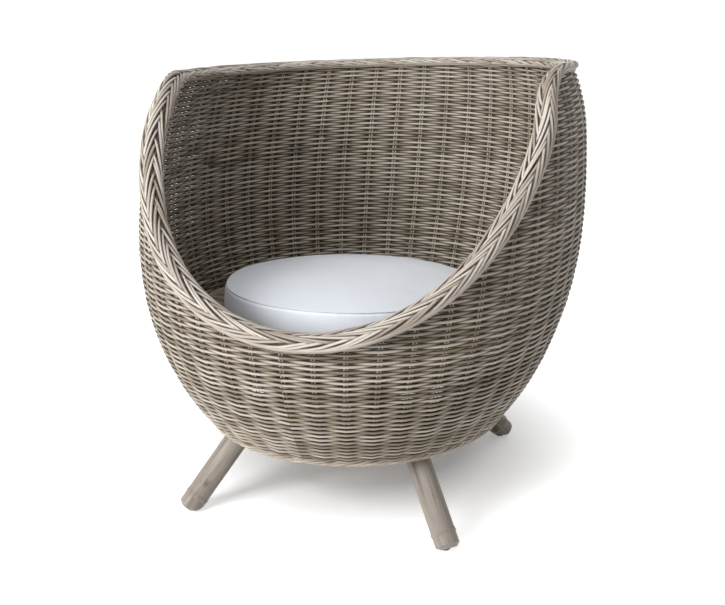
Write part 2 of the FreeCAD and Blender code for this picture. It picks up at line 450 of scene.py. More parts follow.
class NodeSketch:
    """Small helper that adds nodes to a tree and joins them."""

    def __init__(self, tree: bpy.types.NodeTree) -> None:
        """Start on a tree.

        Args:
            tree: Tree of a material or a group.
        """
        self.tree = tree
        self.count = 0

    def add(self, kind: str, inputs: dict | None = None, **settings: object) -> bpy.types.Node:
        """Add a node.

        Args:
            kind: Type of the node.
            inputs: Sockets by name or number, each with a value or the socket it is fed from.
            settings: Properties of the node.

        Returns:
            The node.
        """
        node = self.tree.nodes.new(kind)
        node.location = (180 * (self.count % 8), -220 * (self.count // 8))
        self.count += 1
        for name, value in settings.items():
            setattr(node, name, value)
        for name, value in (inputs or {}).items():
            if isinstance(value, bpy.types.NodeSocket):
                self.tree.links.new(value, node.inputs[name])
            else:
                node.inputs[name].default_value = value
        return node

    def noise(self, vector: bpy.types.NodeSocket, scale: float,
              detail: float = 2.0) -> bpy.types.NodeSocket:
        """Add a noise texture.

        Args:
            vector: Coordinates.
            scale: Scale of the noise.
            detail: Octaves.

        Returns:
            The noise value.
        """
        node = self.add("ShaderNodeTexNoise", {"Vector": vector, "Scale": scale, "Detail": detail})
        return node.outputs["Fac"]

    def stretched(self, vector: bpy.types.NodeSocket, scale: tuple[float, float, float],
                  turn: tuple[float, float, float] = (0, 0, 0)) -> bpy.types.NodeSocket:
        """Add a mapping that stretches coordinates.

        Args:
            vector: Coordinates.
            scale: Factor on each axis.
            turn: Turn on each axis.

        Returns:
            The mapped coordinates.
        """
        node = self.add("ShaderNodeMapping", {"Vector": vector, "Scale": scale, "Rotation": turn})
        return node.outputs["Vector"]

    def span(self, value: bpy.types.NodeSocket, low: float, high: float) -> bpy.types.NodeSocket:
        """Spread a range of values over 0 to 1.

        Args:
            value: The value.
            low: Value that gives 0.
            high: Value that gives 1.

        Returns:
            The clamped result.
        """
        node = self.add("ShaderNodeMapRange", {"Value": value, "From Min": low, "From Max": high})
        return node.outputs["Result"]

    def math(self, operation: str, first: object, second: object) -> bpy.types.NodeSocket:
        """Add a maths node.

        Args:
            operation: Its operation.
            first: First value or socket.
            second: Second value or socket.

        Returns:
            The result.
        """
        return self.add("ShaderNodeMath", {0: first, 1: second}, operation=operation).outputs[0]

    def blend(self, share: object, first: object, second: object) -> bpy.types.NodeSocket:
        """Mix two colours.

        Args:
            share: Share of the second.
            first: First colour or socket.
            second: Second colour or socket.

        Returns:
            The mixed colour.
        """
        node = self.add("ShaderNodeMix", {0: share, 6: first, 7: second}, data_type="RGBA")
        return node.outputs[2]


def new_group(name: str, inputs: dict[str, str],
              outputs: dict[str, str]) -> tuple[NodeSketch, dict, bpy.types.Node]:
    """Start a shader node group.

    Args:
        name: Name of the group.
        inputs: Input sockets and their types.
        outputs: Output sockets and their types.

    Returns:
        The sketch, the inputs by name and the output node.
    """
    tree = bpy.data.node_groups.new(name, "ShaderNodeTree")
    for label, kind in inputs.items():
        tree.interface.new_socket(label, in_out="INPUT", socket_type="NodeSocket" + kind)
    for label, kind in outputs.items():
        tree.interface.new_socket(label, in_out="OUTPUT", socket_type="NodeSocket" + kind)
    sketch = NodeSketch(tree)
    source = sketch.add("NodeGroupInput")
    sink = sketch.add("NodeGroupOutput")
    return sketch, {label: source.outputs[label] for label in inputs}, sink


def cane_group() -> bpy.types.NodeTree:
    """Weathered cane: darker and lighter canes, streaks along the grain, stains over the weave, and
    painted shade, with some dust, deep in the weave.

    Returns:
        The group.
    """
    sketch, given, sink = new_group(
        "weathered_cane_with_painted_shade",
        {"Grain": "Vector", "Tint": "Float", "Shelter": "Float", "Place": "Vector", "Light": "Color",
         "Middle": "Color", "Dark": "Color", "Warm": "Color", "Stained": "Color", "Stain": "Float"},
        {"Color": "Color", "Roughness": "Float", "Height": "Float"})
    along = sketch.noise(sketch.stretched(given["Grain"], (9, 60, 60)), 1.0, 3.0)
    fibre = sketch.noise(sketch.stretched(given["Grain"], (40, 1300, 1300)), 1.0, 2.0)
    stains = sketch.noise(sketch.stretched(given["Place"], (7, 7, 26)), 1.0, 3.0)
    body = sketch.math("ADD", given["Tint"], sketch.math("MULTIPLY", along, 0.7))
    body = sketch.math("ADD", body, sketch.math("MULTIPLY", fibre, 0.35))
    pale = sketch.span(body, 0.68, 1.24)
    color = sketch.blend(pale, given["Middle"], given["Light"])
    deep = sketch.span(stains, 0.54, 0.72)
    deep = sketch.math("MULTIPLY", deep, given["Stain"])
    deep = sketch.math("MULTIPLY", deep, sketch.span(body, 1.25, 0.55))
    color = sketch.blend(deep, color, given["Stained"])
    spots = sketch.noise(sketch.stretched(given["Grain"], (22, 90, 90)), 1.0, 1.0)
    spotted = sketch.math("MULTIPLY", sketch.span(spots, 0.68, 0.78), 0.6)
    color = sketch.blend(spotted, color, given["Warm"])
    # Painted shade with some dust: the colour goes towards near black where the cane lies deep in the
    # weave, where shade falls.
    painted_shade_and_dust = sketch.math("POWER", sketch.span(given["Shelter"], 0.22, 0.84), 1.15)
    color = sketch.blend(sketch.math("MULTIPLY", painted_shade_and_dust, 0.97), color, given["Dark"])
    sketch.tree.links.new(color, sink.inputs["Color"])
    rough = sketch.add("ShaderNodeMapRange", {"Value": fibre, "To Min": 0.42, "To Max": 0.72})
    sketch.tree.links.new(rough.outputs["Result"], sink.inputs["Roughness"])
    sketch.tree.links.new(fibre, sink.inputs["Height"])
    return sketch.tree


def streak_group() -> bpy.types.NodeTree:
    """Long streaks of timber along Z of the given coordinates.

    Returns:
        The group.
    """
    sketch, given, sink = new_group(
        "timber_streaks", {"Place": "Vector", "Pale": "Color", "Brown": "Color"},
        {"Color": "Color", "Roughness": "Float", "Height": "Float"})
    broad = sketch.noise(sketch.stretched(given["Place"], (55, 55, 5)), 1.0, 4.0)
    fine = sketch.noise(sketch.stretched(given["Place"], (420, 420, 14)), 1.0, 3.0)
    knots = sketch.noise(sketch.stretched(given["Place"], (26, 26, 18)), 1.0, 2.0)
    mix = sketch.math("ADD", sketch.math("MULTIPLY", broad, 0.9), sketch.math("MULTIPLY", fine, 0.45))
    mix = sketch.math("ADD", mix, sketch.math("MULTIPLY", sketch.span(knots, 0.60, 0.72), 0.25))
    color = sketch.blend(sketch.span(mix, 0.58, 0.98), given["Pale"], given["Brown"])
    sketch.tree.links.new(color, sink.inputs["Color"])
    rough = sketch.add("ShaderNodeMapRange", {"Value": fine, "To Min": 0.40, "To Max": 0.65})
    sketch.tree.links.new(rough.outputs["Result"], sink.inputs["Roughness"])
    sketch.tree.links.new(mix, sink.inputs["Height"])
    return sketch.tree


Colour = tuple[float, float, float, float]


def shaded(name: str) -> tuple[bpy.types.Material, NodeSketch, bpy.types.Node]:
    """Start a material with its shader.

    Args:
        name: Name of the material.

    Returns:
        The material, a sketch on its tree and the shader node.
    """
    material = bpy.data.materials.new(name)
    material.use_nodes = True
    shader = material.node_tree.nodes["Principled BSDF"]
    return material, NodeSketch(material.node_tree), shader


@dataclass(frozen=True)
class CaneFinish:
    """Weathered round cane, darkened deep in the weave with painted shade and some dust."""

    name: str
    light: Colour
    middle: Colour
    # Colour of the painted shade, with some dust, deep in the weave.
    dark: Colour
    warm: Colour
    stained: Colour
    stain: float

    def material(self, group: bpy.types.NodeTree) -> bpy.types.Material:
        """Make the material.

        Args:
            group: The cane group.

        Returns:
            The material.
        """
        material, sketch, shader = shaded(self.name)
        tint = sketch.add("ShaderNodeAttribute", attribute_name="tint")
        grain = sketch.add("ShaderNodeAttribute", attribute_name="grain")
        shade_and_dust_depth = sketch.add("ShaderNodeAttribute", attribute_name="shade_and_dust_depth")
        place = sketch.add("ShaderNodeTexCoord")
        cane = sketch.add("ShaderNodeGroup", node_tree=group)
        for socket, value in (("Light", self.light), ("Middle", self.middle), ("Dark", self.dark),
                              ("Warm", self.warm), ("Stained", self.stained), ("Stain", self.stain)):
            cane.inputs[socket].default_value = value
        links = material.node_tree.links
        links.new(tint.outputs["Fac"], cane.inputs["Tint"])
        links.new(shade_and_dust_depth.outputs["Fac"], cane.inputs["Shelter"])
        links.new(grain.outputs["Vector"], cane.inputs["Grain"])
        links.new(place.outputs["Object"], cane.inputs["Place"])
        links.new(cane.outputs["Color"], shader.inputs["Base Color"])
        links.new(cane.outputs["Roughness"], shader.inputs["Roughness"])
        bump = sketch.add("ShaderNodeBump", {"Height": cane.outputs["Height"], "Strength": 0.35,
                                             "Distance": 0.0006})
        links.new(bump.outputs["Normal"], shader.inputs["Normal"])
        return material


@dataclass(frozen=True)
class TimberFinish:
    """Timber or pole with streaks along its length."""

    name: str
    pale: Colour
    brown: Colour
    coat: float = 0.0

    def material(self, group: bpy.types.NodeTree, axis: Vector = UP) -> bpy.types.Material:
        """Make the material.

        Args:
            group: The streak group.
            axis: Direction of the grain.

        Returns:
            The material.
        """
        material, sketch, shader = shaded(self.name)
        place = sketch.add("ShaderNodeTexCoord")
        turn = axis.rotation_difference(UP).to_euler()
        along = sketch.stretched(place.outputs["Object"], (1, 1, 1), tuple(turn))
        timber = sketch.add("ShaderNodeGroup", node_tree=group)
        timber.inputs["Pale"].default_value = self.pale
        timber.inputs["Brown"].default_value = self.brown
        links = material.node_tree.links
        links.new(along, timber.inputs["Place"])
        links.new(timber.outputs["Color"], shader.inputs["Base Color"])
        links.new(timber.outputs["Roughness"], shader.inputs["Roughness"])
        shader.inputs["Coat Weight"].default_value = self.coat
        shader.inputs["Coat Roughness"].default_value = 0.4
        bump = sketch.add("ShaderNodeBump", {"Height": timber.outputs["Height"], "Strength": 0.3,
                                             "Distance": 0.001})
        links.new(bump.outputs["Normal"], shader.inputs["Normal"])
        return material


@dataclass(frozen=True)
class ClothFinish:
    """Plain woven cotton."""

    name: str
    face: Colour
    shade: Colour
    threads: float = 1400.0

    def material(self) -> bpy.types.Material:
        """Make the material.

        Returns:
            The material.
        """
        material, sketch, shader = shaded(self.name)
        place = sketch.add("ShaderNodeTexCoord").outputs["Object"]
        clouds = sketch.noise(place, 9.0, 3.0)
        wave = {"Vector": place, "Scale": self.threads / TURN, "Distortion": 0.4}
        warp = sketch.add("ShaderNodeTexWave", wave, bands_direction="X").outputs["Fac"]
        weft = sketch.add("ShaderNodeTexWave", wave, bands_direction="Y").outputs["Fac"]
        threads = sketch.math("MAXIMUM", warp, weft)
        color = sketch.blend(sketch.span(clouds, 0.35, 0.75), self.face, self.shade)
        links = material.node_tree.links
        links.new(color, shader.inputs["Base Color"])
        shader.inputs["Roughness"].default_value = 0.9
        shader.inputs["Sheen Weight"].default_value = 0.25
        soft = sketch.math("ADD", sketch.math("MULTIPLY", threads, 0.12), sketch.noise(place, 60.0, 2.0))
        bump = sketch.add("ShaderNodeBump", {"Height": soft, "Strength": 0.25, "Distance": 0.0012})
        links.new(bump.outputs["Normal"], shader.inputs["Normal"])
        return material


@dataclass(frozen=True)
class SteelFinish:
    """Zinc-plated steel."""

    name: str
    bright: Colour
    dull: Colour

    def material(self) -> bpy.types.Material:
        """Make the material.

        Returns:
            The material.
        """
        material, sketch, shader = shaded(self.name)
        place = sketch.add("ShaderNodeTexCoord").outputs["Object"]
        spangle = sketch.noise(place, 220.0, 2.0)
        links = material.node_tree.links
        color = sketch.blend(sketch.span(spangle, 0.4, 0.65), self.bright, self.dull)
        links.new(color, shader.inputs["Base Color"])
        rough = sketch.add("ShaderNodeMapRange", {"Value": spangle, "To Min": 0.25, "To Max": 0.5})
        links.new(rough.outputs["Result"], shader.inputs["Roughness"])
        shader.inputs["Metallic"].default_value = 1.0
        return material


@dataclass(frozen=True)
class PlasticFinish:
    """Moulded plastic with a fine grain."""

    name: str
    face: Colour
    worn: Colour

    def material(self) -> bpy.types.Material:
        """Make the material.

        Returns:
            The material.
        """
        material, sketch, shader = shaded(self.name)
        place = sketch.add("ShaderNodeTexCoord").outputs["Object"]
        grain = sketch.noise(place, 900.0, 2.0)
        scuffs = sketch.noise(place, 120.0, 3.0)
        links = material.node_tree.links
        color = sketch.blend(sketch.span(scuffs, 0.55, 0.8), self.face, self.worn)
        links.new(color, shader.inputs["Base Color"])
        shader.inputs["Roughness"].default_value = 0.5
        bump = sketch.add("ShaderNodeBump", {"Height": grain, "Strength": 0.2, "Distance": 0.0003})
        links.new(bump.outputs["Normal"], shader.inputs["Normal"])
        return material


@dataclass
class Finishes:
    """Materials of the whole chair."""

    woven: bpy.types.Material = field(init=False)
    stake: bpy.types.Material = field(init=False)
    plaited: bpy.types.Material = field(init=False)
    cloth: bpy.types.Material = field(init=False)
    steel: bpy.types.Material = field(init=False)
    glide: bpy.types.Material = field(init=False)
    streaks: bpy.types.NodeTree = field(init=False)
    pole: TimberFinish = TimberFinish("peeled_pole", (0.40, 0.33, 0.24, 1), (0.20, 0.14, 0.085, 1))
    leg: TimberFinish = TimberFinish("limed_leg", (0.315, 0.275, 0.237, 1), (0.075, 0.054, 0.037, 1),
                                     0.08)
    rail: TimberFinish = TimberFinish("sawn_rail", (0.36, 0.25, 0.14, 1), (0.19, 0.12, 0.06, 1))

    def __post_init__(self) -> None:
        """Make the shared materials."""
        canes = cane_group()
        self.streaks = streak_group()
        # The third colour of each cane finish is the painted shade, with some dust, deep in the weave.
        self.woven = CaneFinish("woven_cane", (0.52, 0.455, 0.375, 1), (0.22, 0.172, 0.115, 1),
                                (0.014, 0.009, 0.005, 1), (0.24, 0.13, 0.06, 1),
                                (0.10, 0.073, 0.042, 1), 0.95).material(canes)
        self.stake = CaneFinish("stake_cane", (0.50, 0.45, 0.37, 1), (0.32, 0.28, 0.21, 1),
                                (0.12, 0.10, 0.07, 1), (0.30, 0.17, 0.075, 1),
                                (0.12, 0.10, 0.07, 1), 0.3).material(canes)
        self.plaited = CaneFinish("plaited_cane", (0.66, 0.60, 0.535, 1), (0.37, 0.315, 0.26, 1),
                                  (0.085, 0.066, 0.048, 1), (0.34, 0.22, 0.12, 1),
                                  (0.14, 0.11, 0.08, 1), 0.35).material(canes)
        self.cloth = ClothFinish("white_cotton", (0.77, 0.81, 0.87, 1),
                                 (0.735, 0.77, 0.83, 1)).material()
        self.steel = SteelFinish("zinc_plate", (0.62, 0.62, 0.60, 1), (0.46, 0.46, 0.45, 1)).material()
        self.glide = PlasticFinish("black_glide", (0.012, 0.012, 0.012, 1),
                                   (0.05, 0.05, 0.05, 1)).material()


# Woven wall

@dataclass
class WovenWall:
    """Wall of round cane woven in front of and behind pairs of stakes."""

    bowl: Bowl
    opening: Opening
    shift: float
    pairs: int = 46
    packing: float = 1.22
    bottom_packing: float = 1.40
    bottom_height: float = 0.15
    stake: float = 0.0034
    stake_aside: float = 0.0027
    low_pitch: float = 0.0057
    high_pitch: float = 0.0050
    swing: float = 0.0029
    pointed: float = 0.96
    steps: int = 8
    sides: int = 8
    bottom_level: float = 0.1665
    shortest: float = 0.7
    longest: float = 2.4
    pieces: int = 4
    least_room: float = 0.002
    uneven: float = 0.10
    rise: float = 0.0005
    stake_steps: int = 44
    stake_sway: float = 0.0007
    chance: random.Random = field(default_factory=lambda: random.Random(11))

    def levels(self) -> list[float]:
        """Levels of the rows, evenly spaced up the wall.

        Returns:
            The levels, from the bottom.
        """
        levels = []
        level = self.bottom_level + self.low_pitch / 2
        while level < self.opening.highest():
            levels.append(level)
            flare = (self.bowl.radius(level + 0.001) - self.bowl.radius(level - 0.001)) / 0.002
            level += self.pitch(level) / math.sqrt(1 + flare * flare)
        return levels

    def pitch(self, level: float) -> float:
        """Distance from row to row up the wall.

        Args:
            level: Height over the floor.

        Returns:
            The distance.
        """
        return self.low_pitch + (self.high_pitch - self.low_pitch) * level / self.opening.highest()

    def thickness(self, level: float) -> float:
        """Thickness of the cane, a little over the pitch, as packed rows press into each other.

        Args:
            level: Height over the floor.

        Returns:
            The thickness.
        """
        low = max(0.0, 1 - (level - self.bottom_level) / self.bottom_height)
        return self.pitch(level) * (self.packing + (self.bottom_packing - self.packing) * low)

    def row(self, number: int, level: float) -> list[list[tuple[Vector, tuple[Vector, float]]]]:
        """Runs of one row, cut where the opening ends it.

        Args:
            number: Number of the row, which sets what it passes in front of.
            level: Its level.

        Returns:
            The runs of points, each with its relief.
        """
        count = self.pairs * self.steps
        middle = self.bowl.wall / 2
        runs: list[list[tuple[Vector, tuple[Vector, float]]]] = [[]]
        for i in range(count + 1):
            angle = TURN * i / count
            place = self.bowl.point(angle, level, self.opening.inset)
            room = self.opening.level(place) - level
            if room < self.least_room:
                if runs[-1]:
                    runs.append([])
                continue
            wander = noise.noise(Vector((angle * 9, number * 0.71, 0.3)))
            front = math.asin(self.pointed * math.cos(self.pairs / 2 * angle + math.pi * number))
            height = self.swing * front / math.asin(self.pointed) * (1 + self.uneven * wander)
            lifted = level + self.rise * noise.noise(Vector((angle * 5, number * 1.3, 5.1)))
            outward = self.bowl.outward(angle, lifted)
            place = self.bowl.point(angle, lifted, middle) + outward * height
            runs[-1].append((place, (outward, height)))
        return [run for run in runs if len(run) > 2]

    def canes(self) -> list[Cane]:
        """All canes of the rows, each row made of a few canes one after the other.

        Returns:
            The canes, from the bottom.
        """
        canes = []
        for number, level in enumerate(self.levels()):
            for run in self.row(number, level):
                start = 0
                step = (run[1][0] - run[0][0]).length
                while start < len(run) - 2:
                    length = int(self.chance.uniform(self.shortest, self.longest) / step)
                    end = min(len(run), start + length)
                    if len(run) - end < 4 * self.steps:
                        end = len(run)
                    tint = self.chance.betavariate(2.2, 2.2)
                    radius = self.thickness(level) / 2 * self.chance.uniform(0.95, 1.05)
                    places, relief = zip(*run[start:end])
                    canes.append(Cane(list(places), radius, tint, relief=list(relief)))
                    start = end - 1
        return canes

    def stakes(self) -> list[Cane]:
        """Pairs of upright stakes from the bottom edge into the border.

        Returns:
            The stakes.
        """
        stakes = []
        for pair in range(self.pairs):
            angle = TURN * pair / self.pairs
            top = self.opening.rim_level(angle) - self.least_room
            for side in (-1, 1):
                path = []
                for i in range(self.stake_steps + 1):
                    level = self.bottom_level + (top - self.bottom_level) * i / self.stake_steps
                    radius = self.bowl.radius(level)
                    sway = self.stake_sway * noise.noise(Vector((pair * 3.7, side * 2.1, level * 11)))
                    aside = (side * self.stake_aside + sway) / radius
                    path.append(self.bowl.point(angle + aside, level, self.bowl.wall / 2))
                stakes.append(Cane(path, self.stake / 2, self.chance.random()))
        return stakes

    def build(self, finishes: Finishes) -> None:
        """Make the wall.

        Args:
            finishes: Materials.
        """
        canes = self.canes()
        total = sum(len(cane.path) for cane in canes)
        parts: list[list[Cane]] = [[] for _ in range(self.pieces)]
        laid = 0
        for cane in canes:
            parts[min(self.pieces - 1, laid * self.pieces // total)].append(cane)
            laid += len(cane.path)
        for i, part in enumerate(parts):
            piece = lay_canes("wall_weave_" + str(i + 1), part, self.shift, self.sides)
            fit(piece, Body.CHAIR, Slot.WOVEN, finishes.woven, "woven_shell")
        piece = lay_canes("wall_stakes", self.stakes(), self.shift)
        fit(piece, Body.CHAIR, Slot.WOVEN, finishes.stake, "woven_shell")


# Plaited rim

@dataclass
class PlaitedRim:
    """Flat plait of reeds in columns, folded over the edge of the wall, with plain reeds under it."""

    bowl: Bowl
    opening: Opening
    shift: float
    reeds: int = 23
    columns: int = 4
    reed: float = 0.0066
    turns: int = 4
    weave_height: float = 0.0027
    crossing: float = 0.55
    fold: float = math.radians(118)
    fullness: float = 0.82
    spacing: float = 0.007
    back_pull: float = 0.006
    back_drop: float = 0.003
    fine: int = 1440
    most_lift: float = 0.0003
    most_aside: float = 0.25
    wander: float = 0.035
    rounding: float = 0.985
    foot_places: tuple[tuple[int, tuple[float, ...]], ...] = ((1, (0.95, 0.62, 0.78)), (-1, (0.93, 0.66)))
    foot_sway: float = 0.0007
    second_row: float = 0.0025
    pole_radius: float = 0.0054
    chance: random.Random = field(default_factory=lambda: random.Random(23))

    def frames(self) -> list[Path]:
        """Evenly spaced frames round the rim.

        Returns:
            The frames.
        """
        places, outs = [], []
        for i in range(self.fine):
            angle = TURN * i / self.fine
            level = self.opening.rim_level(angle)
            places.append(self.bowl.point(angle, level, self.opening.inset))
            outs.append(self.bowl.outward(angle, level))
        travelled = [0.0]
        for i in range(self.fine):
            travelled.append(travelled[-1] + (places[(i + 1) % self.fine] - places[i]).length)
        count = round(travelled[-1] / self.spacing)
        frames = []
        i = 0
        for station in range(count):
            reach = travelled[-1] * station / count
            while travelled[i + 1] <= reach:
                i += 1
            share = (reach - travelled[i]) / (travelled[i + 1] - travelled[i])
            after = (i + 1) % self.fine
            place = places[i].lerp(places[after], share)
            along = (places[(i + 6) % self.fine] - places[i - 5]).normalized()
            outward = outs[i].lerp(outs[after], share)
            outward = (outward - along * outward.dot(along)).normalized()
            upward = outward.cross(along)
            pulled = self.opening.narrowing(place)
            place = place - outward * (self.back_pull * pulled) - upward * (self.back_drop * pulled)
            frames.append(Path(place, outward, upward))
        return frames

    def over_edge(self, path: Path, across: float, height: float) -> tuple[Vector, Vector]:
        """Point on the folded band.

        Args:
            path: Frame on the rim.
            across: Place across the band, from -1 inside to 1 outside.
            height: Distance out from the band's middle layer.

        Returns:
            The point and the way out of the band.
        """
        width, depth = self.opening.border_size(path.place)
        layer = self.reed / 2 + self.weave_height
        half_width = width / 2 - layer
        half_depth = depth / 2 - layer
        angle = across * self.fold
        sideways, rise = math.sin(angle), math.cos(angle)
        out = half_width * math.copysign(abs(sideways) ** self.fullness, sideways)
        over = half_depth * math.copysign(abs(rise) ** self.fullness, rise)
        slant = Vector((half_depth * sideways, half_width * rise)).normalized()
        away = path.outward * slant.x + path.upward * slant.y
        return path.place + path.outward * out + path.upward * over + away * height, away

    def plait(self, frames: list[Path]) -> list[Cane]:
        """Reeds of the plait, which pass over and under each other in columns.

        Args:
            frames: Frames round the rim.

        Returns:
            The reeds.
        """
        canes = []
        for number in range(self.reeds):
            lift = self.chance.uniform(-self.most_lift, self.most_lift)
            path, relief = [], []
            aside = self.chance.uniform(-self.most_aside, self.most_aside) / self.reeds
            for i, frame_at in enumerate(frames):
                at = self.turns * i / len(frames) + number / self.reeds + aside
                wander = self.wander * noise.noise(Vector((i * 0.06, number * 1.7, 2.2)))
                across = math.asin(self.rounding * math.sin(TURN * at)) / math.asin(self.rounding)
                across = (1 - abs(wander)) * across + wander
                wave = math.sin(TURN * self.columns * (at - 0.25))
                height = self.weave_height * math.copysign(abs(wave) ** self.crossing, wave) + lift
                place, away = self.over_edge(frame_at, across, height)
                path.append(place)
                relief.append((away, height))
            radius = self.reed / 2 * self.chance.uniform(0.88, 1.08)
            canes.append(Cane(path, radius, self.chance.betavariate(2, 2), True, relief))
        return canes

    def footing(self, frames: list[Path]) -> list[Cane]:
        """Plain reeds along both lower edges of the plait.

        Args:
            frames: Frames round the rim.

        Returns:
            The reeds.
        """
        canes = []
        for side, places in self.foot_places:
            for k, share in enumerate(places):
                path = []
                for i, frame_at in enumerate(frames):
                    width, depth = self.opening.border_size(frame_at.place)
                    sway = self.foot_sway * noise.noise(Vector((i * 0.05, k * 3.1, side)))
                    out = side * (share * width / 2 - self.reed / 2) + sway
                    down = depth / 2 - self.reed * (0.5 if share < 0.9 else 1.1)
                    down -= self.second_row if k == 2 else 0
                    path.append(frame_at.place + frame_at.outward * out - frame_at.upward * down)
                canes.append(Cane(path, self.reed / 2, self.chance.betavariate(2, 2), True))
        return canes

    def build(self, finishes: Finishes) -> None:
        """Make the rim.

        Args:
            finishes: Materials.
        """
        frames = self.frames()
        piece = lay_canes("rim_plait", self.plait(frames), self.shift)
        fit(piece, Body.CHAIR, Slot.PLAITED, finishes.plaited, "rim_border")
        piece = lay_canes("rim_footing", self.footing(frames), self.shift)
        fit(piece, Body.CHAIR, Slot.PLAITED, finishes.plaited, "rim_border")
        pole = Cane([path.place for path in frames], self.pole_radius, 0.5, True)
        piece = lay_canes("rim_pole", [pole], self.shift, 10)
        fit(piece, Body.CHAIR, Slot.POLE, finishes.stake, "rim_hoop")


@dataclass
class BaseRope:
    """Turned border along the bottom edge of the wall, a rope of reeds."""

    bowl: Bowl
    shift: float
    size: float = 0.014
    strands: int = 5
    reed: float = 0.0052
    twists: int = 15
    stations: int = 300
    chance: random.Random = field(default_factory=lambda: random.Random(31))

    def build(self, finishes: Finishes) -> None:
        """Make the rope.

        Args:
            finishes: Materials.
        """
        level = self.bowl.base_level + self.size / 2
        ring = self.bowl.radius(level) - self.size / 2
        reach = self.size / 2 - self.reed / 2
        canes = []
        for strand in range(self.strands):
            path = []
            for i in range(self.stations):
                angle = TURN * i / self.stations
                turn = self.twists * angle + TURN * strand / self.strands
                out = ring + reach * math.cos(turn)
                rise = reach * math.sin(turn)
                path.append(Vector((out * math.sin(angle), -out * math.cos(angle), level + rise)))
            canes.append(Cane(path, self.reed / 2, self.chance.betavariate(2, 2), True))
        piece = lay_canes("base_rope", canes, self.shift)
        fit(piece, Body.CHAIR, Slot.WOVEN, finishes.woven, "base_border")


# Seat

@dataclass
class Seat:
    """Raked seat: its woven panel and the place of the cushion."""

    bowl: Bowl
    shift: float
    level: float = 0.333
    rake: float = math.radians(4)
    panel_gap: float = 0.012
    cane: float = 0.0042
    stake: float = 0.0030
    pitch: float = 0.0043
    stake_spacing: float = 0.046
    steps: int = 6
    middle: float = -0.005
    swing: float = 0.0029
    binding: tuple[tuple[float, float], ...] = ((0.0, -0.0026), (0.0, -0.0074), (-0.0036, -0.005))
    around: int = 180
    chance: random.Random = field(default_factory=lambda: random.Random(41))

    def matrix(self) -> Matrix:
        """Place of the raked seat.

        Returns:
            The matrix.
        """
        return Matrix.Translation((0, 0, self.level)) @ Matrix.Rotation(-self.rake, 4, "X")

    def panel(self, finishes: Finishes) -> None:
        """Make the woven panel: canes from side to side over and under stakes, and a bound edge.

        Args:
            finishes: Materials.
        """
        radius = self.bowl.radius(self.level, self.bowl.wall) - self.panel_gap - self.cane / 2
        place = self.matrix()
        canes = []
        rows = int(2 * radius / self.pitch)
        step = self.stake_spacing / self.steps
        for number in range(rows):
            y = (number - (rows - 1) / 2) * self.pitch
            half = math.sqrt(max(0.0, radius * radius - y * y))
            count = int(half / step)
            if count < 2:
                continue
            path = []
            for i in range(-count, count + 1):
                x = i * step
                front = math.cos(math.pi * x / self.stake_spacing + math.pi * number)
                path.append(place @ Vector((x, y, self.middle + self.swing * front)))
            canes.append(Cane(path, self.cane / 2, self.chance.betavariate(2, 2)))
        piece = lay_canes("seat_weave", canes, self.shift)
        fit(piece, Body.CHAIR, Slot.WOVEN, finishes.woven, "seat_panel")
        edging = []
        side = int(radius / self.stake_spacing)
        for i in range(-side, side + 1):
            x = i * self.stake_spacing
            half = math.sqrt(radius * radius - x * x)
            ends = [place @ Vector((x, half * t / 8, self.middle)) for t in range(-8, 9)]
            edging.append(Cane(ends, self.stake / 2, self.chance.random()))
        for k, (reach, height) in enumerate(self.binding):
            path = []
            for i in range(self.around):
                angle = TURN * i / self.around
                out = radius + reach
                path.append(place @ Vector((out * math.sin(angle), -out * math.cos(angle), height)))
            edging.append(Cane(path, self.cane / 2, 0.3 + 0.2 * k, True))
        piece = lay_canes("seat_edging", edging, self.shift)
        fit(piece, Body.CHAIR, Slot.WOVEN, finishes.stake, "seat_panel")


